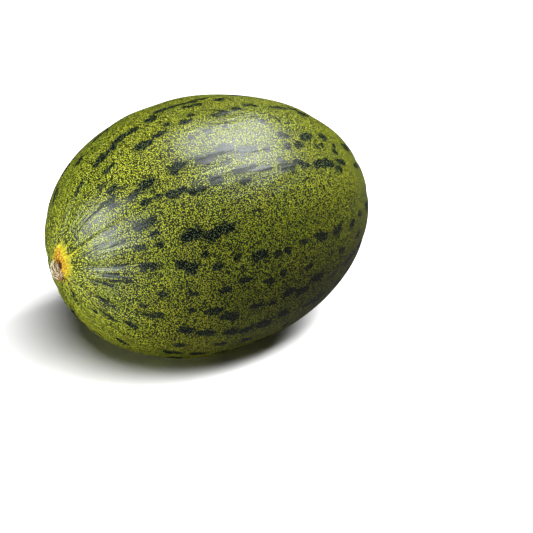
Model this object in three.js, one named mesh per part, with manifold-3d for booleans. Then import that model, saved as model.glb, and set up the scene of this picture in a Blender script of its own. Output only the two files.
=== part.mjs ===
// A whole green-skinned winter melon with a toad-skin rind, lying on its side.
// Frame: millimetres, +Z up, +X from the stem end to the blossom end. The origin is on the surface
// that the fruit rests on, below the middle of the whole length, stem stub included.
import * as THREE from "three";
import { mergeVertices } from "three/addons/utils/BufferGeometryUtils.js";
import Module from "manifold-3d";

const wasm = await Module();
wasm.setup();

// Driving dimensions of the fruit.
const LENGTH = 224; // stem pole to blossom pole
const DIAMETER = 167; // across the middle
const END_BLUNTNESS = 0.915; // power on the sine of the profile: 1 is an ellipse, less is blunter
const STEM_FULLNESS = 0.064; // how much fuller the stem half is than the blossom half
const RIBS = 10; // faint lengthwise ribs
const RIB_MIDDLE = 0.003; // rib height as a share of the radius, at mid-length
const RIB_ENDS = 0.017; // and what is added to it towards the two ends
const RIB_FADE_RADIUS = 30; // the ribs die away inside this distance from the long axis
const REST_SPOT_DEPTH = 1.8; // how far the underside is flattened where the fruit lies
const END_ANGLE = Math.PI / 4; // the collar and the scar lie within this angle of their poles

// The corky collar round the stem, and the socket inside it that holds the stub.
const LOBES = 5;
const LOBE_SHARE = 0.08; // how far the five corners stand out, as a share of the radius
const COLLAR_RADIUS = 11;
const COLLAR_WIDTH = 2.4;
const COLLAR_HEIGHT = 3;
const SOCKET_RADIUS = 8.1; // at the foot of its wall
const SOCKET_WALL = 0.8; // how much wider it is at the top of its wall
const SOCKET_DEPTH = 1;
const GAP = 0.3; // between the stub and the fruit

// The dried stub of the stem, hollow and sunken at its broken end.
const STUB_PROUD = 8; // beyond the stem pole
const STUB_TIP_RADIUS = 5.2;
const STUB_WALL = 2;
const STUB_FOOT_HEIGHT = 1; // the flared foot ends this far above the pole
const STUB_FOOT_FLARE = 0.6; // what the foot gains below that
const STUB_NECK_DEPTH = 5; // the neck is this far below the tip
const STUB_NECK_FLARE = 0.5; // and this much thicker than the tip
const STUB_HOLLOW_DEPTH = 4.5;
const STUB_HOLLOW_TAPER = 0.9; // how much narrower the hollow is at its floor than at its mouth
const STUB_MOUTH_FLARE = 0.3; // how much wider the mouth is than the hollow
const STUB_LIP_INSIDE = 0.5; // the rim drops this much to the hollow
const STUB_LIP_OUTSIDE = 0.7; // and this much to the outside
const STUB_HIGH_SIDE = Math.PI / 5; // the turn at which its broken rim stands highest
const STUB_RIM_TILT = 0.9; // half the fall of the rim to its low side
const STUB_RIM_NOTCH = 0.4; // half the depth of its three notches
const STUB_RIM_NOTCHES = 3;

// The small round scar at the blossom end.
const SCAR_RADIUS = 5;
const SCAR_WIDTH = 2;
const SCAR_HEIGHT = 0.6;

const SEGMENTS = 60; // round the fruit, six to each rib
const BODY_RINGS = 36;
const STUB_SEGMENTS = 40;
const HALVINGS = 40;

const centreX = STUB_PROUD / 2;
const centreZ = DIAMETER / 2 - REST_SPOT_DEPTH;
const stemPoleX = centreX - LENGTH / 2;

const bell = (x, width) => Math.exp(-((x / width) ** 2));
const lobed = (turn) => 1 + LOBE_SHARE * Math.cos(LOBES * turn);

// Distance from the long axis at an angle from the stem pole, 0 to PI.
function bodyRadius(angle) {
  return (DIAMETER / 2) * Math.sin(angle) ** END_BLUNTNESS * (1 + STEM_FULLNESS * Math.cos(angle));
}

// The angle from the stem pole at which the body has a given small radius, found by halving.
function angleOfRadius(radius) {
  let low = 0;
  let high = END_ANGLE;
  for (let step = 0; step < HALVINGS; step += 1) {
    const middle = (low + high) / 2;
    if (bodyRadius(middle) < radius) low = middle;
    else high = middle;
  }
  return low;
}

// How far the skin stands out towards the stem at a distance from the axis: the collar's rise less
// the socket's depth.
function collarRise(radius, turn) {
  const share = radius / lobed(turn);
  const socket = THREE.MathUtils.smoothstep(share, SOCKET_RADIUS, SOCKET_RADIUS + SOCKET_WALL);
  return COLLAR_HEIGHT * bell(share - COLLAR_RADIUS, COLLAR_WIDTH) * socket - SOCKET_DEPTH * (1 - socket);
}

// A point of the fruit's skin at an angle from the stem pole and a turn round the long axis.
function skinPoint(angle, turn) {
  const radius = bodyRadius(angle);
  const fade = Math.min(1, radius / RIB_FADE_RADIUS);
  const rib = (RIB_MIDDLE + RIB_ENDS * Math.cos(angle) ** 2 * fade) * Math.cos(RIBS * turn);
  const ribbed = radius * (1 + rib * fade);
  const scarRise = SCAR_HEIGHT * bell(radius - SCAR_RADIUS, SCAR_WIDTH);
  const rise = angle < END_ANGLE ? collarRise(radius, turn) : -scarRise;
  return new THREE.Vector3(
    centreX - (LENGTH / 2) * Math.cos(angle) - rise,
    ribbed * Math.cos(turn),
    centreZ + ribbed * Math.sin(turn),
  );
}

// A closed surface from a stack of rings. The first and the last ring shrink to a point, and
// pointOf(ring, turn) gives a point of each. With the rings going towards +X, the faces point outwards.
function ringSurface(ringCount, segments, pointOf) {
  const positions = [];
  const indices = [];
  const last = ringCount - 1;
  positions.push(...pointOf(0, 0));
  for (let ring = 1; ring < last; ring += 1) {
    for (let segment = 0; segment < segments; segment += 1) {
      positions.push(...pointOf(ring, (segment / segments) * 2 * Math.PI));
    }
  }
  positions.push(...pointOf(last, 0));
  const at = (ring, segment) => 1 + (ring - 1) * segments + (segment % segments);
  const endPoint = 1 + (last - 1) * segments;
  for (let segment = 0; segment < segments; segment += 1) {
    indices.push(0, at(1, segment + 1), at(1, segment));
    for (let ring = 1; ring < last - 1; ring += 1) {
      const near = [at(ring, segment), at(ring, segment + 1)];
      const far = [at(ring + 1, segment), at(ring + 1, segment + 1)];
      indices.push(near[0], near[1], far[1], near[0], far[1], far[0]);
    }
    indices.push(at(last - 1, segment), at(last - 1, segment + 1), endPoint);
  }
  const geometry = new THREE.BufferGeometry();
  geometry.setAttribute("position", new THREE.Float32BufferAttribute(positions, 3));
  geometry.setIndex(indices);
  return geometry;
}

// A closed geometry as a solid that can be cut.
function solidOf(geometry) {
  const bare = geometry.clone();
  bare.deleteAttribute("normal");
  bare.deleteAttribute("uv");
  const merged = mergeVertices(bare, 1e-4);
  return new wasm.Manifold(
    new wasm.Mesh({
      numProp: 3,
      vertProperties: merged.attributes.position.array,
      triVerts: new Uint32Array(merged.index.array),
    }),
  );
}

// A solid as a geometry that can be drawn.
function geometryOf(solid) {
  const mesh = solid.getMesh();
  const geometry = new THREE.BufferGeometry();
  geometry.setAttribute("position", new THREE.BufferAttribute(mesh.vertProperties, 3));
  geometry.setIndex(new THREE.BufferAttribute(mesh.triVerts, 1));
  geometry.computeVertexNormals();
  return geometry;
}

// The whole fruit: a ribbed body of revolution with a collar and a socket, cut flat where it rests.
// Its rings follow the socket's floor and wall, the collar's crest and both its slopes, the body,
// and the scar.
function fruitGeometry() {
  const socketSteps = [-SOCKET_RADIUS / 2, -SOCKET_WALL, 0, SOCKET_WALL]; // from the foot of its wall
  const socketRadii = socketSteps.map((step) => SOCKET_RADIUS + step);
  const collarSteps = [-0.4, 0, 0.6, 1.2, 2.5]; // in collar widths from its crest
  const collarRadii = collarSteps.map((step) => COLLAR_RADIUS + step * COLLAR_WIDTH);
  const stemAngles = [...socketRadii, ...collarRadii].map(angleOfRadius);
  const scarSteps = [1.5, 0, -1.2]; // in scar widths from its ring
  const scarRadii = scarSteps.map((step) => SCAR_RADIUS + step * SCAR_WIDTH);
  const scarAngles = scarRadii.map((radius) => Math.PI - angleOfRadius(radius));
  const bodyFrom = stemAngles.at(-1);
  const bodyStep = (scarAngles[0] - bodyFrom) / (BODY_RINGS + 1);
  const bodyAngles = Array.from({ length: BODY_RINGS }, (_, ring) => bodyFrom + bodyStep * (ring + 1));
  const angles = [0, ...stemAngles, ...bodyAngles, ...scarAngles, Math.PI];
  const body = ringSurface(angles.length, SEGMENTS, (ring, turn) => skinPoint(angles[ring], turn));
  const ground = new THREE.BoxGeometry(LENGTH, DIAMETER, DIAMETER).translate(0, 0, -DIAMETER / 2);
  return geometryOf(solidOf(body).subtract(solidOf(ground)));
}

// The stub: a five-cornered tube closed at its foot, with an oblique, uneven rim round a sunken middle.
function stubGeometry() {
  const footX = stemPoleX + SOCKET_DEPTH - GAP;
  const footRadius = SOCKET_RADIUS - GAP;
  const tipX = stemPoleX - STUB_PROUD;
  const hollowRadius = STUB_TIP_RADIUS - STUB_WALL;
  const fall = (turns) => 1 - Math.cos(turns);
  const rim = (turn) => {
    const past = turn - STUB_HIGH_SIDE;
    return tipX + STUB_RIM_TILT * fall(past) + STUB_RIM_NOTCH * fall(STUB_RIM_NOTCHES * past);
  };
  const rings = [
    { x: () => tipX + STUB_HOLLOW_DEPTH, radius: 0 },
    { x: () => tipX + STUB_HOLLOW_DEPTH, radius: hollowRadius + STUB_MOUTH_FLARE - STUB_HOLLOW_TAPER },
    { x: (turn) => rim(turn) + STUB_LIP_INSIDE, radius: hollowRadius + STUB_MOUTH_FLARE },
    { x: rim, radius: STUB_TIP_RADIUS - STUB_WALL / 2 },
    { x: (turn) => rim(turn) + STUB_LIP_OUTSIDE, radius: STUB_TIP_RADIUS },
    { x: () => tipX + STUB_NECK_DEPTH, radius: STUB_TIP_RADIUS + STUB_NECK_FLARE },
    { x: () => stemPoleX - STUB_FOOT_HEIGHT, radius: footRadius - STUB_FOOT_FLARE },
    { x: () => footX, radius: footRadius },
    { x: () => footX, radius: 0 },
  ];
  return ringSurface(rings.length, STUB_SEGMENTS, (ring, turn) => {
    const across = rings[ring].radius * lobed(turn);
    const y = across * Math.cos(turn);
    const z = centreZ + across * Math.sin(turn);
    return new THREE.Vector3(rings[ring].x(turn), y, z);
  });
}

function piece(name, geometry, colour, roughness) {
  const finish = { color: colour, roughness, metalness: 0, flatShading: true };
  const material = new THREE.MeshStandardMaterial(finish);
  const mesh = new THREE.Mesh(geometry, material);
  mesh.name = name;
  return mesh;
}

const melon = new THREE.Group();
melon.name = "melon";
melon.add(piece("fruit", fruitGeometry(), 0x6f7d2c, 0.42));
melon.add(piece("stem_stub", stubGeometry(), 0xc9a27a, 0.85));

export default melon;
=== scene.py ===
"""A whole winter melon with a toad-skin rind, resting on its side.

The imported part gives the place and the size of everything. The rind is one closed surface, worked out from
the angle from the stem end and the turn round the long axis, and the dried stub of the stem stands in its
corky collar. Lengths are in metres, and MM is one millimetre. A turn of a quarter circle points up, and a
half turn points along -Y.
"""

import math

import bpy
import numpy as np
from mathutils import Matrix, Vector


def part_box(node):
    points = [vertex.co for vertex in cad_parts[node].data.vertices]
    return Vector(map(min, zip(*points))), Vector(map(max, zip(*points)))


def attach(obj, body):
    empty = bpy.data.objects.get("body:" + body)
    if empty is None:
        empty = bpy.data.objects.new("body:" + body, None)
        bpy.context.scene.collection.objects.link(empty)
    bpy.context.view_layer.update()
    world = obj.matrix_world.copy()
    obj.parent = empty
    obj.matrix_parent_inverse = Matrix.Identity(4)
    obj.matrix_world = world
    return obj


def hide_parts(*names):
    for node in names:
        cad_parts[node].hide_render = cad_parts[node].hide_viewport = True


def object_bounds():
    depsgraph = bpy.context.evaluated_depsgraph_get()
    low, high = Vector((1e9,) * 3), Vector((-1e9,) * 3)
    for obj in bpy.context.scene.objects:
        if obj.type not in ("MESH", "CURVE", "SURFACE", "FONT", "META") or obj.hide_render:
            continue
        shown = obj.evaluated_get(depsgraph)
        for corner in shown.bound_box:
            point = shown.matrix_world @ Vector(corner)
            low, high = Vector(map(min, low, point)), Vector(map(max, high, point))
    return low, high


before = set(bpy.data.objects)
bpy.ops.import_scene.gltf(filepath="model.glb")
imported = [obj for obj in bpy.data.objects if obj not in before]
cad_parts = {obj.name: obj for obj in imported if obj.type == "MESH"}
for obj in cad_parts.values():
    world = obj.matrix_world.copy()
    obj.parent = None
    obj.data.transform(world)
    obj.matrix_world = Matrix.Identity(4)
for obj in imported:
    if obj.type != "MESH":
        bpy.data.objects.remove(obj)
cad_low, cad_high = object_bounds()

MM = 0.001
SEED = 11

# The body's shape.
END_BLUNTNESS = 0.915  # power on the sine of the profile: 1 is an ellipse, less is blunter
STEM_FULLNESS = 0.064  # how much fuller the stem half is than the blossom half
RIBS = 10  # low and lengthwise, parted by furrows
RIB_TURN = math.radians(3)  # the turn of the first of them
FURROW_WIDTH = math.radians(5)
FURROW_MIDDLE = 0.5 * MM  # how deep a furrow is at mid-length
FURROW_STEM = 1.5 * MM  # and how much deeper towards the stem
FURROW_BLOSSOM = 0.5 * MM  # and towards the blossom end
END_FADE = 30 * MM  # they die away inside this distance from the long axis
UNDULATION = 0.25 * MM  # of the slight unevenness all over
STEM_WRINKLE = 0.12 * MM  # of the fine radial wrinkles round the collar
BLOSSOM_WRINKLE = 0.1 * MM  # and round the blossom scar
REST_BLEND = 0.4 * MM  # how softly the body passes into the flat spot where it lies

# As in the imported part: how far the stub is sunk in its socket, and the ring scar at the blossom end.
STUB_SUNK = 0.7 * MM
SCAR_RISE = 0.44 * MM  # past the pole
SCAR_RADIUS = 5 * MM
SCAR_WIDTH = 2 * MM

COLLAR_MIDDLE = (-1.6 * MM, 1.0 * MM)  # along Y and Z from the long axis
# How far its outer edge lies from its middle, in mm, by the turn in degrees: a pointed arch that is flat on
# one side.
COLLAR_EDGES = {
    14: 8.3,
    52: 9.6,
    78: 13.2,
    100: 12.2,
    130: 11.4,
    158: 11.0,
    184: 9.9,
    226: 8.7,
    255: 8.8,
    300: 9.4,
    340: 9.2,
}
COLLAR_HEIGHT = 2.5 * MM
COLLAR_WIDTH = 1.05 * MM
CREST_INSET = 1.3 * MM  # its crest lies this far inside its outer edge
SOCKET_INSET = 2.5 * MM  # and the top of its socket's wall this far
SOCKET_WALL = 0.7 * MM  # how much narrower the socket is at the foot of its wall
SOCKET_DEPTH = 2.6 * MM

# The dark blotches: how far they reach on either side of their row, and how deep a faint one is, where a
# plain one is 1.
BROAD_HALF_WIDTH = 3.9 * MM
SMALL_HALF_WIDTH = 2.7 * MM
FAINT_DEPTH = 0.8
LOBES_EACH = 3  # the rounded lobes that a blotch is made of

SEGMENTS = 384  # round the fruit
RINGS = 250  # along it


def fruit_sizes():
    """Half-width, half-length and centre of the body: the stub lies on the long axis, and the poles are next
    to the stub's foot and the scar's rim."""
    low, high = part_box("fruit")
    stub_low, stub_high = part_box("stem_stub")
    angles = np.linspace(0, math.pi, 721)  # a quarter of a degree apart
    stem_x = stub_high.x - STUB_SUNK
    blossom_x = high.x - SCAR_RISE
    centre = Vector(((stem_x + blossom_x) / 2, 0, (stub_low.z + stub_high.z) / 2))
    half_width = (high.y - low.y) / 2 / profile(angles).max()
    return half_width, (blossom_x - stem_x) / 2, centre


def profile(angle):
    """Distance from the long axis as a share of the half-width: the sine of the angle from the stem pole to a
    power that blunts both ends, and a little more towards the stem."""
    return np.abs(np.sin(angle)) ** END_BLUNTNESS * (1 + STEM_FULLNESS * np.cos(angle))


def bell(x, width):
    """1 at 0, falling evenly to both sides as the exponential of minus the square of x over the width."""
    return np.exp(-((x / width) ** 2))


def smooth(x, low, high):
    """0 below low, 1 above high, and an S-curve between."""
    t = np.clip((x - low) / (high - low), 0, 1)
    return t * t * (3 - 2 * t)


def wrapped(turn):
    """The same turn between minus half a circle and half a circle."""
    return (turn + math.pi) % (2 * math.pi) - math.pi


def ripple(turn, lowest, highest, seed):
    """An uneven wave round a full circle: whole harmonics from lowest to highest with random strengths and
    phases, scaled to a spread of 1."""
    draw = np.random.default_rng(seed)
    order = np.arange(lowest, highest + 1).reshape(-1, *([1] * np.ndim(turn)))
    strength = draw.uniform(0.3, 1, len(order)).reshape(order.shape)
    phase = draw.uniform(0, 2 * math.pi, len(order)).reshape(order.shape)
    return (strength * np.cos(order * turn + phase)).sum(0) / np.sqrt((strength**2).sum() / 2)


HALF_WIDTH, HALF_LENGTH, CENTRE = fruit_sizes()


# ---- Meshes ----


def closed_surface(name, grid):
    """A closed mesh from a grid of rings, each a loop of points. The first and the last ring have shrunk to a
    point and become one vertex each, so nothing is open and there is no seam. With the rings going towards
    +X, the faces point outwards."""
    rings, segments = grid.shape[:2]
    points = np.vstack([grid[0, :1], grid[1:-1].reshape(-1, 3), grid[-1, :1]])
    ring, segment = np.meshgrid(np.arange(rings - 3), np.arange(segments), indexing="ij")
    here = 1 + ring * segments + segment
    beside = 1 + ring * segments + (segment + 1) % segments
    quads = np.stack([here, beside, beside + segments, here + segments], -1).reshape(-1, 4)
    first = 1 + np.arange(segments)
    after = 1 + (np.arange(segments) + 1) % segments
    shift = (rings - 3) * segments
    last = len(points) - 1
    start_fan = np.stack([np.zeros(segments, int), after, first], -1)
    end_fan = np.stack([first + shift, after + shift, np.full(segments, last)], -1)
    mesh = bpy.data.meshes.new(name)
    mesh.from_pydata(points.tolist(), [], quads.tolist() + start_fan.tolist() + end_fan.tolist())
    mesh.shade_smooth()
    piece = bpy.data.objects.new(name, mesh)
    bpy.context.scene.collection.objects.link(piece)
    return piece


def on_vertices(field):
    """The values of a grid in the order of closed_surface's vertices."""
    width = field.shape[2:]
    return np.concatenate([field[0, :1], field[1:-1].reshape(-1, *width), field[-1, :1]])


def store(piece, name, field):
    """Keeps a grid of numbers or of vectors on the mesh as an attribute that the material reads."""
    values = on_vertices(field)
    kind, key = ("FLOAT_VECTOR", "vector") if values.ndim == 2 else ("FLOAT", "value")
    attribute = piece.data.attributes.new(name, kind, "POINT")
    attribute.data.foreach_set(key, values.astype(np.float32).ravel())


def finish_piece(piece, material):
    """Gives a piece its material and the body that it rides on."""
    piece.data.materials.append(material)
    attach(piece, "root")


# ---- The rind ----

# Where the dark blotches lie on the side that shows: the turn of each row in degrees, and the distances along
# the skin from the stem pole, in millimetres, between which it has a blotch.
BROAD_BLOTCHES = {
    71: ((192, 201),),
    75: ((236, 250),),
    82: ((178, 192),),
    87.5: ((67, 80), (80, 98), (111, 121)),
    98: ((214, 224),),
    101.5: ((147, 161),),
    102: ((92, 104), (217, 228)),
    120.5: ((56, 66),),
    122: ((132, 146), (199, 212), (220, 228)),
    122.5: ((79, 90), (100, 113)),
    124: ((118, 132), (244, 256)),
    125: ((146, 161),),
    135: ((121, 129),),
    137.5: ((171, 182),),
    138.5: ((198, 211), (209, 220)),
    143: ((65, 81),),
    154.5: ((91, 107),),
    157: ((104, 126),),
    166.5: ((64, 76),),
    168: ((85, 95),),
    199: ((64, 80),),
    212: ((56, 66),),
}
SMALL_BLOTCHES = {
    69.5: ((65, 74),),
    84: ((121, 136), (133, 150), (146, 163)),
    88.5: ((138, 147), (147, 153), (163, 172)),
    98: ((176, 186),),
    99.5: ((195, 212),),
    100.5: ((106, 116), (126, 134)),
    111: ((123, 127), (134, 140), (147, 152), (174, 180), (188, 192)),
    113.5: ((61, 70),),
    121: ((181, 190),),
    125.5: ((71, 80),),
    127: ((165, 170), (181, 188), (190, 198), (215, 219), (229, 234)),
    128: ((136, 139), (209, 213)),
    131.5: ((76, 84), (226, 232)),
    132.5: ((85, 91),),
    133.5: ((98, 106), (136, 148), (171, 175)),
    134: ((92, 99), (148, 154)),
    136: ((153, 164), (182, 190)),
    136.5: ((105, 116),),
    138.5: ((138, 146), (187, 195), (223, 235)),
    142: ((219, 227),),
    139.5: ((247, 258),),
    150: ((74, 80),),
    154.5: ((62, 71),),
    156: ((76, 80),),
    165: ((102, 107),),
    184: ((73, 80),),
    193: ((62, 68),),
    202: ((36, 52),),
    215: ((36, 54),),
    222: ((33, 40),),
    240: ((18, 26), (60, 70)),
}
FAINT_BLOTCHES = {
    66: ((83, 105),),
    87.5: ((45, 58), (96, 107)),
    97: ((117, 122), (134, 140)),
    100: ((66, 77), (164, 172)),
    106: ((56, 65),),
    118.5: ((24, 60),),
    139: ((46, 57),),
    145: ((36, 47),),
    148.5: ((46, 61),),
    164: ((45, 59),),
    171: ((36, 51),),
    175: ((45, 61),),
    182: ((24, 52),),
}
HIDDEN_ROWS = (-6.5, 7, 18)  # from each furrow, in degrees; the third holds small blotches
SHOWN_TURNS = (60, 170)  # in degrees, where every blotch is listed above
PARTLY_SHOWN_TURN = 245  # and from there to here, only those nearer the stem than HIDDEN_START are
HIDDEN_START = 95 * MM
HIDDEN_FROM, HIDDEN_TO = (0.13, 0.2), 0.84  # shares of the length between which the other rows lie


def skin_lines():
    """The rings' angles from the stem pole, with their distances along the skin from it. Rings lie close
    together on the collar, less so at the blossom scar, and widest apart on the body."""
    angles = np.linspace(0, math.pi, 20001)  # close enough to add up the skin's length
    steps = np.hypot(np.diff(HALF_LENGTH * np.cos(angles)), np.diff(HALF_WIDTH * profile(angles)))
    along = np.concatenate([[0], np.cumsum(steps)])
    at_collar = 1 - smooth(along, 15 * MM, 32 * MM)
    at_scar = smooth(along, along[-1] - 14 * MM, along[-1])
    closeness = 1 + 3.2 * at_collar + 0.8 * at_scar
    count = np.concatenate([[0], np.cumsum(closeness[1:] * steps)])
    at_ring = np.interp(np.linspace(0, count[-1], RINGS), count, angles)
    return at_ring, np.interp(at_ring, angles, along)


def collar_edge(turn):
    """Distance of the collar's outer edge from its middle, which changes evenly between the listed turns."""
    turns, edges = zip(*COLLAR_EDGES.items())
    return np.interp(np.degrees(turn) % 360, turns, edges, period=360) * MM


def past_collar(radius, turn):
    """How far a point of the skin lies outside the collar's outer edge, and less than 0 inside it."""
    aside = radius * np.cos(turn) - COLLAR_MIDDLE[0]
    up = radius * np.sin(turn) - COLLAR_MIDDLE[1]
    return np.hypot(aside, up) - collar_edge(np.arctan2(up, aside))


def collar_rise(radius, turn):
    """How far the skin stands out towards the stem near its pole: a bell-shaped ring with an uneven, cracked
    crest, less the depth of the socket inside it."""
    past = past_collar(radius, turn)
    crest = 1 + 0.10 * ripple(turn, 3, 12, SEED + 1) + 0.08 * ripple(turn, 16, 44, SEED + 2)
    ring = bell(past + CREST_INSET, COLLAR_WIDTH * (1 + 0.10 * ripple(turn, 4, 9, SEED + 3)))
    socket = smooth(past, -SOCKET_INSET - SOCKET_WALL, -SOCKET_INSET)
    return COLLAR_HEIGHT * crest * ring * socket - SOCKET_DEPTH * (1 - socket)


# The yellow veins past the collar: their turns in degrees, and their lengths in mm.
VEINS = {
    3: 9,
    40: 7,
    62: 6,
    92: 7,
    112: 5,
    138: 18,
    164: 4,
    196: 3,
    222: 7,
    243: 11,
    262: 8,
    291: 12,
    327: 10,
}
VEIN_WIDTH = 0.38 * MM
VEIN_ROOT = 0.5 * MM  # how much wider it is at the collar
VEIN_HEIGHT = 0.25 * MM


def veins(along, radius, turn):
    """1 on the thin veins that run from the collar along the skin, falling to 0 beside them, bell-shaped
    across, and at their far ends."""
    field = np.zeros(np.broadcast(along, turn).shape)
    past = past_collar(radius, turn)
    for at_turn, length in VEINS.items():
        wander = 0.02 * np.sin(along / (9 * MM) + 2.3 * at_turn)
        off = wrapped(turn - math.radians(at_turn) - wander) * radius
        left = 1 - smooth(past, 0.3 * length * MM, length * MM)
        width = VEIN_WIDTH + VEIN_ROOT * bell(past, 2.5 * MM)
        field = np.maximum(field, bell(off, width) * left)
    return field * smooth(past, -CREST_INSET, 0) * (along < along[-1, 0] / 2)


def listed(rows, half_width, depth):
    """Distance from the stem pole, turn, half-length, half-width and depth of each blotch in a table."""
    for row, spans in rows.items():
        for start, end in spans:
            yield (start + end) / 2 * MM, math.radians(row), (end - start) / 2 * MM, half_width, depth


def hidden_blotches(length, draw):
    """The blotches of the sides that don't show, in rows on either side of each furrow and midway between."""
    for furrow in np.degrees(furrow_turns()):
        for kind, offset in enumerate(HIDDEN_ROWS):
            row = (furrow + offset) % 360
            if SHOWN_TURNS[0] < row < SHOWN_TURNS[1]:
                continue
            partly = SHOWN_TURNS[1] <= row < PARTLY_SHOWN_TURN
            along = HIDDEN_START if partly else draw.uniform(*HIDDEN_FROM) * length
            while along < HIDDEN_TO * length:
                small = kind == 2 or draw.uniform() < 0.3
                half_length = draw.uniform(2.5, 4.5) * MM if small else draw.uniform(4.5, 8) * MM
                half_width = SMALL_HALF_WIDTH if small else BROAD_HALF_WIDTH
                turn = math.radians(row + draw.normal(0, 1.2))
                yield along, turn, half_length, half_width, draw.choice([1, 1, FAINT_DEPTH])
                along += 2 * half_length + draw.uniform(0, 0.09 if kind == 2 else 0.04) * length


def blotches(along, radius, turn):
    """How deep a point lies in the dark blotches: 1 in the middle of one, 0 on its outline, negative outside.
    Each is a few rounded lobes side by side along its row."""
    draw = np.random.default_rng(SEED)
    places = [
        *listed(BROAD_BLOTCHES, BROAD_HALF_WIDTH, 1),
        *listed(SMALL_BLOTCHES, SMALL_HALF_WIDTH, 1),
        *listed(FAINT_BLOTCHES, SMALL_HALF_WIDTH, FAINT_DEPTH),
        *hidden_blotches(along[-1, 0], draw),
    ]
    field = np.full(np.broadcast(along, turn).shape, -1.0)
    for at_along, at_turn, half_length, half_width, depth in places:
        for lobe in range(LOBES_EACH):
            offset = 2 * lobe / (LOBES_EACH - 1) - 1
            aside = draw.uniform(-0.35, 0.35) * half_width
            wide = half_width * draw.uniform(0.65, 1.0)
            long = half_length * draw.uniform(0.55, 0.75)
            across = (wrapped(turn - at_turn) * radius - aside) / wide
            lengthwise = (along - at_along - 0.45 * offset * half_length) / long
            inside = 1 - np.hypot(across, lengthwise)
            field = np.maximum(field, np.where(inside > 0, depth, 1) * inside)
    return field


STRIPE_FROM, STRIPE_TO = 18 * MM, 66 * MM  # from the stem pole
STRIPE_WIDTH = math.radians(2.3)


def stripes(along, turn):
    """1 on the dark stripes, bell-shaped across, into which the rows of blotches run together towards the
    stem."""
    draw = np.random.default_rng(SEED + 8)
    field = np.zeros(np.broadcast(along, turn).shape)
    for furrow in furrow_turns():
        for offset in np.radians((*HIDDEN_ROWS, 0)):
            start = STRIPE_FROM + draw.uniform(0, 9) * MM
            end = STRIPE_TO - draw.uniform(0, 26) * MM
            there = smooth(along, start, start + 6 * MM) * (1 - smooth(along, end - 14 * MM, end))
            wander = math.radians(1.5) * np.sin(along / (11 * MM) + draw.uniform(0, 6))
            off = wrapped(turn - furrow - offset - draw.normal(0, 0.03) - wander)
            depth = draw.uniform(0.5, 1)
            width = STRIPE_WIDTH * draw.uniform(0.6, 1.2)
            field = np.maximum(field, depth * there * bell(off, width))
    return field


def furrow_turns():
    """The turns midway between the ribs."""
    return (RIB_TURN + (np.arange(RIBS) + 0.5) * 2 * math.pi / RIBS) % (2 * math.pi)


def furrows(angle, radius, turn):
    """How deep the furrows between the ribs are: bell-shaped across, shallow at mid-length and deeper towards
    both ends, each a little off its regular course."""
    draw = np.random.default_rng(SEED + 9)
    fade = np.clip(radius / END_FADE, 0, 1)
    middle = np.cos(angle) ** 2
    deep = FURROW_MIDDLE + np.where(angle < math.pi / 2, FURROW_STEM, FURROW_BLOSSOM) * middle
    field = np.zeros(np.broadcast(angle, turn).shape)
    for at_turn in furrow_turns():
        wander = math.radians(1) * np.sin(3 * angle + draw.uniform(0, 6))
        share = draw.uniform(0.7, 1.15)
        field = field + share * deep * fade * bell(wrapped(turn - at_turn - wander), FURROW_WIDTH)
    return field


def rind():
    """The whole fruit: a body of revolution about the long axis, with low ribs parted by furrows, a slight
    unevenness, the collar and its socket at the stem, veins, radial wrinkles near both poles, a ring scar at
    the blossom end, and a flat spot where it lies."""
    angle, along = (line.reshape(-1, 1) for line in skin_lines())
    turn = np.linspace(0, 2 * math.pi, SEGMENTS, endpoint=False).reshape(1, -1)
    radius = HALF_WIDTH * profile(angle)
    length = along[-1, 0]
    furrow = furrows(angle, radius, turn)
    uneven = UNDULATION * ripple(turn + 1.7 * np.sin(2.4 * angle), 2, 5, SEED + 5) * np.sin(angle)
    near_stem = smooth(along, 14 * MM, 24 * MM) * (1 - smooth(along, 26 * MM, 75 * MM))
    near_blossom = smooth(length - along, 4 * MM, 9 * MM) * (1 - smooth(length - along, 10 * MM, 40 * MM))
    wrinkle = STEM_WRINKLE * ripple(turn, 30, 80, SEED + 6) * near_stem
    wrinkle = wrinkle + BLOSSOM_WRINKLE * ripple(turn, 40, 80, SEED + 7) * near_blossom
    vein = veins(along, radius, turn)
    across = radius - furrow + uneven + wrinkle + VEIN_HEIGHT * vein
    rise = np.where(along < length / 2, collar_rise(radius, turn), 0)
    scar = SCAR_RISE * bell(radius - SCAR_RADIUS, SCAR_WIDTH) * (along > length / 2)
    x = CENTRE.x - HALF_LENGTH * np.cos(angle) - rise + scar
    y = across * np.cos(turn)
    z = CENTRE.z + across * np.sin(turn)
    z = np.where(z < 3 * REST_BLEND, REST_BLEND * np.logaddexp(0, z / REST_BLEND), z)
    z = np.where(z < 0.15 * REST_BLEND, 0, z)
    return along, radius, turn, vein, np.stack(np.broadcast_arrays(x, y, z), -1)


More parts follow.
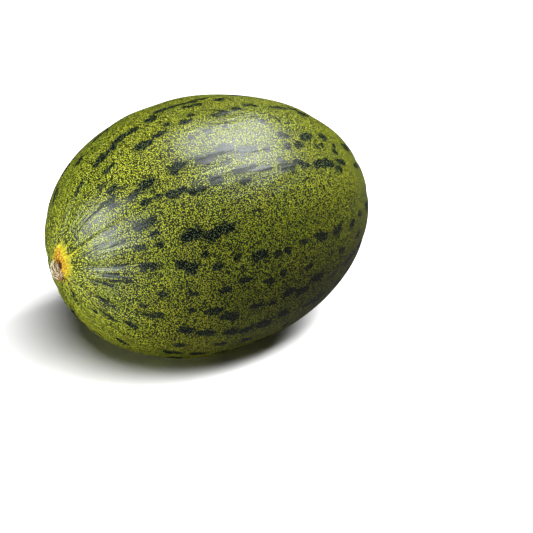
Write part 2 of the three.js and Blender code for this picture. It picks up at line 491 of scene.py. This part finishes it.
def make_fruit(material):
    """The fruit with what its material reads. Flow is the direction from the long axis and the share of the
    length, rays the same drawn together towards both poles, blotch how deep a point lies in a dark blotch or
    stripe, cork the collar, veins and scar, and crumbs the crumbled cork in the socket and on the scar."""
    along, radius, turn, vein, grid = rind()
    grid[0] = grid[0].mean(0)
    grid[-1] = grid[-1].mean(0)
    fruit = closed_surface("melon_fruit", grid)
    length = along[-1, 0]
    past = past_collar(radius, turn)
    collar = (1 - smooth(past, -0.1 * MM, 0.7 * MM)) * (along < length / 2)
    scar = (1 - smooth(radius, 2.5 * MM, 4.5 * MM)) * (along > length / 2)
    flow = np.stack(np.broadcast_arrays(np.cos(turn), np.sin(turn), along / length), -1)
    store(fruit, "flow", flow)
    spread = np.sqrt(np.clip(radius, 0, None) / HALF_WIDTH)
    store(fruit, "rays", flow * np.stack(np.broadcast_arrays(spread, spread, 1.0), -1))
    store(fruit, "blotch", np.maximum(blotches(along, radius, turn), 1.05 * stripes(along, turn) - 1))
    store(fruit, "cork", np.maximum(np.maximum(collar, 0.9 * vein), 0.6 * scar))
    store(fruit, "crumbs", np.maximum(collar * (1 - smooth(past, -1.9 * MM, -1.2 * MM)), scar))
    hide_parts("fruit")
    finish_piece(fruit, material)
    return fruit


# ---- The dried stub ----

STUB_SEGMENTS = 220
INNER_RINGS, OUTER_RINGS = 110, 40
RIM_INSET = 2.1 * MM  # its rim lies this far inside the collar's outer edge
STUB_FOOT_DEPTH = 2.3 * MM  # below the stem pole
CAVITY_DEPTH = 1.3 * MM
CAVITY_SHARE = 0.26  # of the way from the middle to the rim
CAVITY_OFFSET = (3.2 * MM, -2.5 * MM)  # of the cavity from the collar's middle
STUB_HIGH_TURN = math.radians(-62)  # where its broken rim stands highest
STUB_LOW = 1.3 * MM  # height of the rim above the stem pole on the low side
STUB_RISE = 3.7 * MM  # and how much higher it stands on the high side
FLAP_TURN = math.radians(-96)  # where the torn rim is bent outwards over the collar
FLAP_WIDTH = 0.55  # in radians
FLAP_OUT = 3.6 * MM
FLAP_DROOP = 0.45  # the share of the high side's rise that the flap loses
WALL_LAYERS = 3.2  # layers of fibre from the cavity to the rim of the high wall
LAYER_HEIGHT = 0.25 * MM
LAYER_OVERHANG = 0.45 * MM  # how far the crest of a layer leans inwards
CRUMB_HEIGHT = 0.45 * MM


def high_side(turn):
    """1 where the broken rim stands highest, falling to 0 on the other side."""
    return ((1 + np.cos(turn - STUB_HIGH_TURN)) / 2) ** 2


def stub_rim(turn):
    """Height of the broken rim above the stem pole: high on one side, nearly level with the collar on the
    other, lower where the flap bends outwards, and torn all round."""
    flap = bell(wrapped(turn - FLAP_TURN), FLAP_WIDTH)
    splits = 0.30 * MM * ripple(turn, 5, 16, SEED + 21) * high_side(turn)
    torn = splits + 0.14 * MM * ripple(turn, 20, 50, SEED + 22)
    return STUB_LOW + STUB_RISE * high_side(turn) * (1 - FLAP_DROOP * flap) + torn


def stub_point(height, share, inwards, turn):
    """A point of the stub at a height above the stem pole. The share goes from 0 in the cavity to 1 on the
    rim, which follows the collar's edge, and the distance from the middle grows as a power of it. Inwards is
    how much nearer the middle the rim lies."""
    flap = bell(wrapped(turn - FLAP_TURN), FLAP_WIDTH)
    rim = collar_edge(turn) - RIM_INSET + FLAP_OUT * flap * smooth(share, 0.5, 1) - inwards
    left = 1 - np.minimum(share, 1)
    y = COLLAR_MIDDLE[0] + CAVITY_OFFSET[0] * left + share**0.85 * rim * np.cos(turn)
    z = COLLAR_MIDDLE[1] + CAVITY_OFFSET[1] * left + share**0.85 * rim * np.sin(turn)
    return np.stack(np.broadcast_arrays(CENTRE.x - HALF_LENGTH - height, y, CENTRE.z + z), -1)


def crumble(turn, place):
    """Lumps as on broken cork: the product of uneven waves round the stub and across its rings."""
    draw = np.random.default_rng(SEED + 25)
    lumps = 0
    for order in (7, 11, 16, 23):
        round_phase, cross_phase = draw.uniform(0, 2 * math.pi, 2)
        cross = order * 2.4 * place + cross_phase + ripple(turn, 1, 3, SEED + order)
        lumps = lumps + np.cos(order * turn + round_phase) * np.sin(cross)
    return lumps / 2


def bowl(share, turn):
    """Height of the stub's inside, with share going from 0 in the middle of the cavity to 1 on the rim, and
    how far a point lies on a layer of fibre: 0 in the grooves between the layers, 1 on their crests. The high
    wall is made of curved layers, and the low side of crumbled cork."""
    on_wall = smooth(high_side(turn), 0.2, 0.5)
    wall_climb = smooth(share, CAVITY_SHARE * 0.6, 1.0)
    crumbled_climb = smooth(share, CAVITY_SHARE * 0.6, CAVITY_SHARE * 1.9)
    climb = crumbled_climb + (wall_climb - crumbled_climb) * on_wall
    phase = WALL_LAYERS * (share - CAVITY_SHARE) / (1 - CAVITY_SHARE) + 0.22 * ripple(turn, 1, 5, SEED + 24)
    past_cavity = smooth(share, CAVITY_SHARE, CAVITY_SHARE + 0.12)
    layer = np.abs(np.sin(math.pi * phase)) ** 0.6 * past_cavity * on_wall
    crumbs = CRUMB_HEIGHT * crumble(turn, 0.5 * share) * (1 - on_wall) * smooth(share, 0.1, 0.4)
    height = -CAVITY_DEPTH + (stub_rim(turn) + CAVITY_DEPTH) * climb + crumbs + LAYER_HEIGHT * layer
    return height, layer


def stub_grid():
    """The broken stem: a cup with one high side, from the middle of its cavity over the rim to the foot in
    the socket. Place goes from 0 in the cavity to 1 on the rim and 2 at the foot."""
    turn = np.linspace(0, 2 * math.pi, STUB_SEGMENTS, endpoint=False).reshape(1, -1)
    share = np.linspace(0, 1, INNER_RINGS).reshape(-1, 1)
    height, layer = bowl(share, turn)
    inside = stub_point(height, share, LAYER_OVERHANG * layer, turn)
    down = np.linspace(0, 1, OUTER_RINGS + 1)[1:].reshape(-1, 1)
    outer_height = height[-1:] - (height[-1:] + STUB_FOOT_DEPTH) * down
    rough = 0.12 * MM * ripple(turn, 18, 60, SEED + 23) - 0.4 * MM * np.sin(math.pi * np.clip(4 * down, 0, 1))
    outside = stub_point(outer_height, 1 - 0.08 * smooth(down, 0, 0.5), rough * (1 - down), turn)
    foot = stub_point(0 * turn - STUB_FOOT_DEPTH, 0 * turn, 0, turn)
    place = np.vstack([share, 1 + down, [[2.1]]])
    height = np.vstack([height, outer_height, outer_height[-1:]])
    layer = np.vstack([layer, 0.6 * np.ones_like(outer_height), layer[-1:]])
    return place, turn, height, layer, np.vstack([inside, outside, foot])


def make_stub(material):
    """The stub with what its material reads. Flow is the direction from its middle and the place from the
    cavity outwards, and the others tell how far a point lies in the hollow, on a layer of fibre, on the low
    side and on the flap."""
    place, turn, height, layer, grid = stub_grid()
    grid[0] = grid[0].mean(0)
    grid[-1] = grid[-1].mean(0)
    stub = closed_surface("dried_stem_stub", grid)
    hollow = (1 - smooth(height, -0.9 * MM, 0.4 * MM)) * (place < 1)
    flow = np.stack(np.broadcast_arrays(np.cos(turn), np.sin(turn), place), -1)
    low_side = 1 - smooth(high_side(turn), 0.15, 0.5)
    flap = bell(wrapped(turn - FLAP_TURN), FLAP_WIDTH) * smooth(place, 0.72, 0.95)
    store(stub, "flow", flow)
    store(stub, "hollow", hollow)
    store(stub, "layer", layer)
    store(stub, "low_side", low_side * np.ones_like(place))
    store(stub, "flap", flap)
    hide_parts("stem_stub")
    finish_piece(stub, material)
    return stub


STRANDS = 7
STRAND_STEPS, STRAND_SIDES = 48, 8
STRAND_RADIUS = (0.40 * MM, 0.60 * MM)


def strand(level, draw):
    """Rings of a strand of fibre that curls round the inside of the high wall, from the upper side of the
    collar to the flap: a tube round a path on the bowl, as thick as the root of a sine along it. A level of 0
    lies at the cavity, and of 1 on the rim."""
    start = math.radians(draw.uniform(-5, 35))
    end = math.radians(draw.uniform(-125, -95) if level > 0.5 else draw.uniform(-110, -80))
    along = np.linspace(0, 1, STRAND_STEPS)
    turn = start + (end - start) * along
    share = CAVITY_SHARE + (1 - CAVITY_SHARE) * level + 0.04 * np.sin(5 * along + draw.uniform(0, 6))
    share = np.minimum(share, 1)
    lift = (0.15 + 0.5 * draw.uniform(0, 1) * along**3) * MM
    path = stub_point(bowl(share, turn)[0] + lift, share, 0.3 * MM, turn)
    forward = np.gradient(path, axis=0)
    forward /= np.linalg.norm(forward, axis=1, keepdims=True)
    aside = np.cross(forward, (1.0, 0, 0))
    aside /= np.linalg.norm(aside, axis=1, keepdims=True)
    above = np.cross(forward, aside)
    thick = draw.uniform(*STRAND_RADIUS) * np.sin(math.pi * (0.02 + 0.96 * along)) ** 0.5
    thick = (thick * (1 + 0.15 * np.sin(23 * along + draw.uniform(0, 6)))).reshape(-1, 1, 1)
    around = np.linspace(0, 2 * math.pi, STRAND_SIDES, endpoint=False).reshape(1, -1, 1)
    offset = thick * (np.cos(around) * aside[:, None] + 0.7 * np.sin(around) * above[:, None])
    return path[:, None] + offset, np.broadcast_to(along[:, None], (STRAND_STEPS, STRAND_SIDES))


def make_strands(material):
    """The loose fibres of the torn stem, all in one piece, each a tube with closed ends."""
    draw = np.random.default_rng(SEED + 30)
    tubes = [strand(level, draw) for level in np.linspace(0.25, 1.0, STRANDS)]
    points = np.concatenate([tube.reshape(-1, 3) for tube, _ in tubes])
    along = np.concatenate([place.ravel() for _, place in tubes])
    ring, side = np.meshgrid(np.arange(STRAND_STEPS - 1), np.arange(STRAND_SIDES), indexing="ij")
    here = ring * STRAND_SIDES + side
    beside = ring * STRAND_SIDES + (side + 1) % STRAND_SIDES
    quads = np.stack([here, beside, beside + STRAND_SIDES, here + STRAND_SIDES], -1).reshape(-1, 4)
    ends = [np.arange(STRAND_SIDES)[::-1], np.arange(STRAND_SIDES) + (STRAND_STEPS - 1) * STRAND_SIDES]
    faces = []
    for first in np.arange(STRANDS) * STRAND_STEPS * STRAND_SIDES:
        faces += (first + quads).tolist() + [(first + end).tolist() for end in ends]
    mesh = bpy.data.meshes.new("stem_fibres")
    mesh.from_pydata(points.tolist(), [], faces)
    mesh.shade_smooth()
    mesh.attributes.new("along", "FLOAT", "POINT").data.foreach_set("value", along.astype(np.float32))
    fibres = bpy.data.objects.new("stem_fibres", mesh)
    bpy.context.scene.collection.objects.link(fibres)
    finish_piece(fibres, material)
    return fibres


# ---- Materials ----


def add(tree, kind, inputs=None, **settings):
    """A node of a kind with its settings. Each input is a value, or a socket to link from."""
    made = tree.nodes.new(kind)
    for name, value in settings.items():
        setattr(made, name, value)
    for name, value in (inputs or {}).items():
        if isinstance(value, bpy.types.NodeSocket):
            tree.links.new(value, made.inputs[name])
        else:
            made.inputs[name].default_value = value
    return made


def maths(tree, operation, first, second=0.0, third=0.0):
    """The result of an operation on up to three numbers or sockets."""
    node = add(tree, "ShaderNodeMath", {0: first, 1: second, 2: third}, operation=operation)
    return node.outputs[0]


def ramp(tree, value, low, high, to_low=0.0, to_high=1.0):
    """The value carried from low..high to to_low..to_high along an S-curve, level outside."""
    inputs = {"Value": value, "From Min": low, "From Max": high, "To Min": to_low, "To Max": to_high}
    return add(tree, "ShaderNodeMapRange", inputs, interpolation_type="SMOOTHSTEP").outputs["Result"]


def blend(tree, factor, first, second):
    """A colour between two, each a colour or a socket."""
    node = add(tree, "ShaderNodeMix", {0: factor, 6: first, 7: second}, data_type="RGBA")
    return node.outputs[2]


def noise(tree, position, scale, detail=2.0, roughness=0.5, distortion=0.0):
    """Smooth random values from 0 to 1 over a position."""
    inputs = {"Vector": position, "Scale": scale, "Detail": detail}
    inputs.update({"Roughness": roughness, "Distortion": distortion})
    return add(tree, "ShaderNodeTexNoise", inputs).outputs[0]


def attribute(tree, name, output="Fac"):
    """What was stored on the mesh under a name."""
    return add(tree, "ShaderNodeAttribute", attribute_name=name).outputs[output]


def stretched(tree, vector, scale):
    """A vector with each of its parts scaled, so that a pattern on it is drawn out."""
    return add(tree, "ShaderNodeMapping", {"Vector": vector, "Scale": scale}).outputs["Vector"]


def group(name, inputs, outputs):
    """An empty node group with its input and output sockets. An input starts as a number or as a vector."""
    tree = bpy.data.node_groups.new(name, "ShaderNodeTree")
    for socket, value in inputs.items():
        kind = "NodeSocketVector" if isinstance(value, tuple) else "NodeSocketFloat"
        tree.interface.new_socket(socket, in_out="INPUT", socket_type=kind).default_value = value
    for socket in outputs:
        tree.interface.new_socket(socket, in_out="OUTPUT", socket_type="NodeSocketFloat")
    return tree, tree.nodes.new("NodeGroupInput").outputs, tree.nodes.new("NodeGroupOutput").inputs


def use(tree, shared, **inputs):
    """A node group placed in a material with its own values."""
    return add(tree, "ShaderNodeGroup", inputs, node_tree=shared).outputs


SPOT_EDGE = 0.05  # half the width of a spot's soft edge, in cells
STREAK_CELLS = (54, 54, 80)  # across the rays, two ways, and along the fruit


def spots(tree, vector, cover, scale=1.0):
    """Small round spots that cover a share of the skin, and a random number of its own for each. One spot
    lies in each cell, so its volume is the share, which gives its radius."""
    made = add(tree, "ShaderNodeTexVoronoi", {"Vector": vector, "Scale": scale})
    reach = maths(tree, "POWER", maths(tree, "MULTIPLY", cover, 3 / (4 * math.pi)), 1 / 3)
    inside = maths(tree, "SUBTRACT", reach, made.outputs["Distance"])
    shade = add(tree, "ShaderNodeSeparateColor", {0: made.outputs["Color"]}).outputs[0]
    return ramp(tree, inside, -SPOT_EDGE, SPOT_EDGE), shade


def speckle_group():
    """Fine flecks: spots that are even in all directions, and turn into lengthwise streaks where Streaks is
    1. Cover is the share of the skin that is light, and Shade differs from fleck to fleck. Fineness is the
    number of flecks in a metre."""
    inputs = {"Position": (0, 0, 0), "Rays": (0, 0, 0), "Streaks": 0.0, "Cover": 0.3, "Fineness": 1260.0}
    tree, given, out = group("Fleck pattern", inputs, ("Flecks", "Shade"))
    flecks, shade = spots(tree, given["Position"], given["Cover"], given["Fineness"])
    streaks, streak_shade = spots(tree, stretched(tree, given["Rays"], STREAK_CELLS), given["Cover"])
    for plain, drawn_out, name in ((flecks, streaks, "Flecks"), (shade, streak_shade, "Shade")):
        change = maths(tree, "SUBTRACT", drawn_out, plain)
        tree.links.new(maths(tree, "MULTIPLY_ADD", change, given["Streaks"], plain), out[name])
    return tree


def fibre_group():
    """Fine fibres along the flow, as in cork and dry stem."""
    tree, given, out = group("Fibre grain", {"Flow": (0, 0, 0), "Stretch": (30, 30, 4)}, ("Fibres",))
    scaled = add(tree, "ShaderNodeVectorMath", {0: given["Flow"], 1: given["Stretch"]}, operation="MULTIPLY")
    tree.links.new(noise(tree, scaled.outputs[0], 1.0, 3.0, 0.6, 0.4), out["Fibres"])
    return tree


def new_material(name):
    """A material with its node tree and its shader."""
    material = bpy.data.materials.new(name)
    material.use_nodes = True
    tree = material.node_tree
    return material, tree, tree.nodes["Principled BSDF"]


# Colours of the rind. Each pair is the dullest and the brightest that a fleck, a fibre or a lump may have.
GREEN_FLECKS = (0.42, 0.52, 0.014, 1), (0.95, 1.0, 0.08, 1)
YELLOW_FLECKS = (0.50, 0.56, 0.014, 1), (1.0, 1.0, 0.07, 1)
GROUND = (0.005, 0.008, 0.001, 1), (0.018, 0.026, 0.002, 1)
BLOTCH_FLECK = (0.13, 0.18, 0.045, 1)
BLOTCH_GROUND = (0.005, 0.010, 0.006, 1)
YELLOW_CORK = (0.70, 0.50, 0.02, 1), (1.0, 0.86, 0.05, 1)
ORANGE_CRUMBS = (0.34, 0.12, 0.01, 1), (0.90, 0.52, 0.04, 1)
PLAIN_COVER = 0.265  # the share that the light flecks cover of plain skin


def blotch_masks(tree, position, flow, along):
    """Where the dark blotches and their halos lie, with ragged outlines, and the dark and pale streaks that
    run through them near the stem. Streaked is 1 at the stem and fades along the skin."""
    ragged = maths(tree, "SUBTRACT", noise(tree, position, 380.0, 3.0, 0.7), 0.5)
    depth = maths(tree, "MULTIPLY_ADD", ragged, 1.8, attribute(tree, "blotch"))
    streaked = ramp(tree, along, 0.07, 0.34, 1.0, 0.0)
    streak = noise(tree, stretched(tree, flow, (26, 26, 6)), 1.0, 3.0, 0.65)
    streak = maths(tree, "MULTIPLY", maths(tree, "SUBTRACT", streak, 0.5), streaked)
    depth = maths(tree, "MULTIPLY_ADD", streak, 2.8, depth)
    depth = maths(tree, "MULTIPLY_ADD", streaked, -0.35, depth)
    return ramp(tree, depth, -0.05, 0.28), ramp(tree, depth, -0.8, 0.1), streak, streaked


def fleck_cover(tree, blotch, halo, streak, streaked, up, along):
    """The share of the skin that the light flecks cover: less in and beside the blotches and in the dark
    streaks, and more on the upper side towards the blossom end, which is painted light: a brightening that
    stands in for light falling there."""
    cover = maths(tree, "SUBTRACT", PLAIN_COVER, maths(tree, "MULTIPLY", blotch, 0.11))
    cover = maths(tree, "SUBTRACT", cover, maths(tree, "MULTIPLY", halo, 0.07))
    cover = maths(tree, "MULTIPLY_ADD", streak, -0.7, cover)
    cover = maths(tree, "MULTIPLY_ADD", streaked, 0.02, cover)
    # Painted light: more light flecks make the upper side towards the blossom end lighter, in place of light
    # falling there.
    painted_light_above = maths(tree, "MULTIPLY", ramp(tree, along, 0.35, 0.75), ramp(tree, up, 0.1, 0.7))
    return maths(tree, "MULTIPLY_ADD", painted_light_above, 0.07, cover)


def green_skin(tree, position, fleck, shade, blotch):
    """Light flecks on a dark ground, in patches of greener and of yellower ones, and greyer in a blotch."""
    patches = ramp(tree, noise(tree, position, 26.0, 3.0, 0.6), 0.36, 0.64)
    light = blend(tree, patches, blend(tree, shade, *GREEN_FLECKS), blend(tree, shade, *YELLOW_FLECKS))
    light = blend(tree, maths(tree, "MULTIPLY", blotch, 0.90), light, BLOTCH_FLECK)
    return blend(tree, fleck, blend(tree, blotch, blend(tree, shade, *GROUND), BLOTCH_GROUND), light)


def corky_skin(tree, position, flow, fibres):
    """Yellow radial fibres, and orange lumps in the socket and on the blossom scar."""
    grain = use(tree, fibres, Flow=flow, Stretch=(14, 14, 160))["Fibres"]
    yellow = blend(tree, ramp(tree, grain, 0.35, 0.6), *YELLOW_CORK)
    orange = blend(tree, ramp(tree, noise(tree, position, 900.0, 2.0), 0.36, 0.60), *ORANGE_CRUMBS)
    return blend(tree, attribute(tree, "crumbs"), yellow, orange)


def rind_material(flecks, fibres):
    """Smooth green skin with light flecks and dark blotches, glossier than its corky parts. The flecks are
    drawn out into streaks near both poles."""
    material, tree, skin = new_material("toad_skin_rind")
    position = add(tree, "ShaderNodeTexCoord").outputs["Object"]
    flow = attribute(tree, "flow", "Vector")
    parts = add(tree, "ShaderNodeSeparateXYZ", {0: flow}).outputs
    up, along = parts["Y"], parts["Z"]
    blotch, halo, streak, streaked = blotch_masks(tree, position, flow, along)
    cover = fleck_cover(tree, blotch, halo, streak, streaked, up, along)
    ends = maths(tree, "MAXIMUM", ramp(tree, along, 0.05, 0.18, 0.9, 0.0), ramp(tree, along, 0.90, 0.97))
    rays = attribute(tree, "rays", "Vector")
    speckle = use(tree, flecks, Position=position, Rays=rays, Streaks=ends, Cover=cover)
    fleck = speckle["Flecks"]
    cork = attribute(tree, "cork")
    green = green_skin(tree, position, fleck, speckle["Shade"], blotch)
    colour = blend(tree, cork, green, corky_skin(tree, position, flow, fibres))
    tree.links.new(colour, skin.inputs["Base Color"])

    rough = maths(tree, "MULTIPLY_ADD", maths(tree, "MAXIMUM", fleck, blotch), -0.03, 0.30)
    rough = maths(tree, "MAXIMUM", rough, maths(tree, "MULTIPLY", cork, 0.62))
    tree.links.new(rough, skin.inputs["Roughness"])
    tree.links.new(maths(tree, "MULTIPLY_ADD", cork, -0.5, 0.72), skin.inputs["Specular IOR Level"])
    waves = noise(tree, stretched(tree, flow, (22, 22, 14)), 1.0, 2.0, 0.55)
    height = maths(tree, "MULTIPLY_ADD", fleck, 0.08, maths(tree, "MULTIPLY", waves, 0.5))
    bump = add(tree, "ShaderNodeBump", {"Height": height, "Distance": MM, "Strength": 1.0})
    tree.links.new(bump.outputs[0], skin.inputs["Normal"])
    return material


# Colours of the dried stem. Each pair is the dullest and the brightest that a fibre or a crumb may have.
STRAW = (0.95, 0.82, 0.60, 1)
GREENISH_STRAW = (0.62, 0.62, 0.34, 1)
BROWN_GROOVE = (0.17, 0.075, 0.025, 1)
GOLDEN_CRUMBS = (0.30, 0.10, 0.008, 1), (0.92, 0.58, 0.04, 1)
RED_BROWN_FLAP = (0.36, 0.14, 0.045, 1)
DARK_CAVITY = (0.13, 0.055, 0.012, 1)
LOOSE_FIBRE = (0.52, 0.30, 0.12, 1), (0.97, 0.87, 0.64, 1)
TORN_END = (0.42, 0.15, 0.05, 1)


def stub_material(fibres):
    """Dry, split stem: curved cream fibres with brown grooves on the high side, golden crumbled cork on the
    low side, dark brown in the cavity, and red-brown on the flap."""
    material, tree, stem = new_material("dried_stem")
    position = add(tree, "ShaderNodeTexCoord").outputs["Object"]
    flow = attribute(tree, "flow", "Vector")
    grain = use(tree, fibres, Flow=flow, Stretch=(2.2, 2.2, 26))["Fibres"]
    crumbs = noise(tree, position, 1100.0, 2.0, 0.6)
    patches = noise(tree, position, 300.0, 1.0, 0.5)
    straw = blend(tree, ramp(tree, patches, 0.42, 0.6), STRAW, GREENISH_STRAW)
    crest = ramp(tree, attribute(tree, "layer"), 0.3, 0.9)
    fibre = maths(tree, "MULTIPLY", crest, ramp(tree, grain, 0.38, 0.58))
    golden = blend(tree, ramp(tree, crumbs, 0.36, 0.60), *GOLDEN_CRUMBS)
    colour = blend(tree, attribute(tree, "low_side"), blend(tree, fibre, BROWN_GROOVE, straw), golden)
    colour = blend(tree, ramp(tree, attribute(tree, "flap"), 0.2, 0.9), colour, RED_BROWN_FLAP)
    uneven = maths(tree, "MULTIPLY_ADD", maths(tree, "SUBTRACT", crumbs, 0.5), 1.6, attribute(tree, "hollow"))
    colour = blend(tree, ramp(tree, uneven, 0.25, 0.8), colour, DARK_CAVITY)
    tree.links.new(colour, stem.inputs["Base Color"])
    stem.inputs["Roughness"].default_value = 0.65
    stem.inputs["Specular IOR Level"].default_value = 0.3
    height = maths(tree, "ADD", grain, crumbs)
    bump = add(tree, "ShaderNodeBump", {"Height": height, "Distance": 0.4 * MM, "Strength": 1.0})
    tree.links.new(bump.outputs[0], stem.inputs["Normal"])
    return material


def strand_material():
    """A loose fibre, streaked with cream and tan, and red-brown towards its torn end."""
    material, tree, straw = new_material("loose_fibre")
    position = add(tree, "ShaderNodeTexCoord").outputs["Object"]
    streaks = noise(tree, position, 500.0, 3.0, 0.6)
    colour = blend(tree, ramp(tree, streaks, 0.34, 0.54), *LOOSE_FIBRE)
    colour = blend(tree, ramp(tree, attribute(tree, "along"), 0.72, 1.0), colour, TORN_END)
    tree.links.new(colour, straw.inputs["Base Color"])
    straw.inputs["Roughness"].default_value = 0.55
    straw.inputs["Specular IOR Level"].default_value = 0.3
    bump = add(tree, "ShaderNodeBump", {"Height": streaks, "Distance": 0.2 * MM, "Strength": 1.0})
    tree.links.new(bump.outputs[0], straw.inputs["Normal"])
    return material


# ---- Floor, lights and camera ----

FLOOR_RADIUS = 1.0
FLOOR_SIDES = 64
FLOOR_WHITE = (0.85, 0.85, 0.85, 1)
FLOOR_BOUNCE = (0.03, 0.03, 0.03, 1)  # the floor throws less light on the fruit than its white shows


def make_floor():
    """A flat disc at the height on which the fruit rests."""
    turn = np.linspace(0, 2 * math.pi, FLOOR_SIDES, endpoint=False)
    rim = np.stack([FLOOR_RADIUS * np.cos(turn), FLOOR_RADIUS * np.sin(turn), 0 * turn + cad_low.z], -1)
    mesh = bpy.data.meshes.new("floor")
    mesh.from_pydata(rim.tolist(), [], [list(range(FLOOR_SIDES))])
    floor = bpy.data.objects.new("floor", mesh)
    bpy.context.scene.collection.objects.link(floor)
    material, tree, paint = new_material("white_floor")
    seen = add(tree, "ShaderNodeLightPath").outputs["Is Camera Ray"]
    tree.links.new(blend(tree, seen, FLOOR_BOUNCE, FLOOR_WHITE), paint.inputs["Base Color"])
    paint.inputs["Roughness"].default_value = 0.9
    paint.inputs["Specular IOR Level"].default_value = 0.1
    mesh.materials.append(material)
    return floor


SKY, DAYLIGHT, WHITE = (0.90, 0.97, 1.0), (0.94, 0.99, 1.0), (1, 1, 1)
# The softboxes of the fruit: the direction in which each lies, its distance, its width and height in metres,
# its brightness and its colour. Two lie above, three at the stem end, and a weak one fills the front.
SOFTBOXES = {
    "key_softbox": ((0.415, 0.045, 0.883), 1.2, (0.80, 0.94), 7.2, DAYLIGHT),
    "front_softbox": ((0.46, -0.35, 0.81), 1.2, (0.70, 0.70), 2.8, DAYLIGHT),
    "side_softbox": ((-0.98, 0.10, 0.15), 1.2, (0.80, 0.80), 4.7, SKY),
    "upper_side_softbox": ((-0.865, -0.11, 0.38), 1.2, (1.10, 0.80), 2.6, SKY),
    "low_softbox": ((-0.90, -0.15, -0.40), 1.2, (0.90, 0.80), 2.7, WHITE),
    "fill_softbox": ((0.60, -0.80, -0.10), 2.0, (2.00, 1.60), 0.04, WHITE),
}
FLOOR_PANEL = ((0.15, -0.52, 1.0), 2.0, (3.2, 0.9), 20.0, WHITE)  # the same for the floor's own panel
ROOM = 0.015  # how bright the room is, next to the white that the camera sees past the floor


def softbox(name, placed, lit, blocking):
    """A rectangular light that faces the fruit from a direction, of a brightness given per area. It lights
    the objects in one collection, and those in another cast its shadows."""
    direction, distance, size, radiance, colour = placed
    light = bpy.data.lights.new(name, "AREA")
    light.color = colour
    light.shape = "RECTANGLE"
    light.size, light.size_y = size
    light.energy = radiance * math.pi * size[0] * size[1]
    lamp = bpy.data.objects.new(name, light)
    towards = Vector(direction).normalized()
    lamp.location = CENTRE + towards * distance
    lamp.rotation_euler = towards.to_track_quat("Z", "Y").to_euler()
    lamp.visible_camera = False
    lamp.light_linking.receiver_collection = lit
    lamp.light_linking.blocker_collection = blocking
    bpy.context.scene.collection.objects.link(lamp)


def make_lights(pieces, floor):
    """The softboxes, which light the fruit alone, and a wide soft panel for the floor alone, on which the
    fruit casts its shadow."""
    fruit_only = bpy.data.collections.new("fruit_only")
    floor_only = bpy.data.collections.new("floor_only")
    for piece in pieces:
        fruit_only.objects.link(piece)
    floor_only.objects.link(floor)
    for name, placed in SOFTBOXES.items():
        softbox(name, placed, fruit_only, fruit_only)
    softbox("floor_panel", FLOOR_PANEL, floor_only, fruit_only)


def make_room():
    """A white surrounding that the camera sees past the floor, and that hardly lights anything."""
    world = bpy.data.worlds.new("studio")
    world.use_nodes = True
    tree = world.node_tree
    background = tree.nodes["Background"].inputs
    seen = add(tree, "ShaderNodeLightPath").outputs["Is Camera Ray"]
    background["Color"].default_value = (1, 1, 1, 1)
    tree.links.new(ramp(tree, seen, 0.0, 1.0, ROOM, 1.0), background["Strength"])
    bpy.context.scene.world = world
    bpy.context.scene.view_settings.view_transform = "Standard"


CAMERA_AZIMUTH, CAMERA_ELEVATION = math.radians(-32.8), math.radians(24)
CAMERA_DISTANCE = 14  # in half-widths of the fruit, as are the next two
AIM_RIGHT = 0.423
AIM_DOWN = 0.346
LENS, SENSOR = 121, 36  # focal length and width, in mm


def make_camera():
    """A long lens a little over a metre away, looking down at the stem half from the front. It aims below the
    middle and to its blossom side."""
    level = math.cos(CAMERA_ELEVATION)
    right = Vector((math.cos(CAMERA_AZIMUTH), math.sin(CAMERA_AZIMUTH), 0))
    back = Vector((right.y * level, -right.x * level, math.sin(CAMERA_ELEVATION)))
    up = back.cross(right)
    aim = CENTRE + right * (AIM_RIGHT * HALF_WIDTH) - up * (AIM_DOWN * HALF_WIDTH)
    lens = bpy.data.cameras.new("camera")
    lens.lens = LENS
    lens.sensor_width = SENSOR
    lens.clip_start, lens.clip_end = 0.05, 20
    camera = bpy.data.objects.new("camera", lens)
    camera.location = CENTRE + back * (CAMERA_DISTANCE * HALF_WIDTH)
    camera.rotation_euler = (camera.location - aim).to_track_quat("Z", "Y").to_euler()
    bpy.context.scene.collection.objects.link(camera)
    bpy.context.scene.camera = camera


make_camera()
fleck_pattern = speckle_group()
fibre_grain = fibre_group()
fruit = make_fruit(rind_material(fleck_pattern, fibre_grain))
stub = make_stub(stub_material(fibre_grain))
strands = make_strands(strand_material())
make_lights([fruit, stub, strands], make_floor())
make_room()
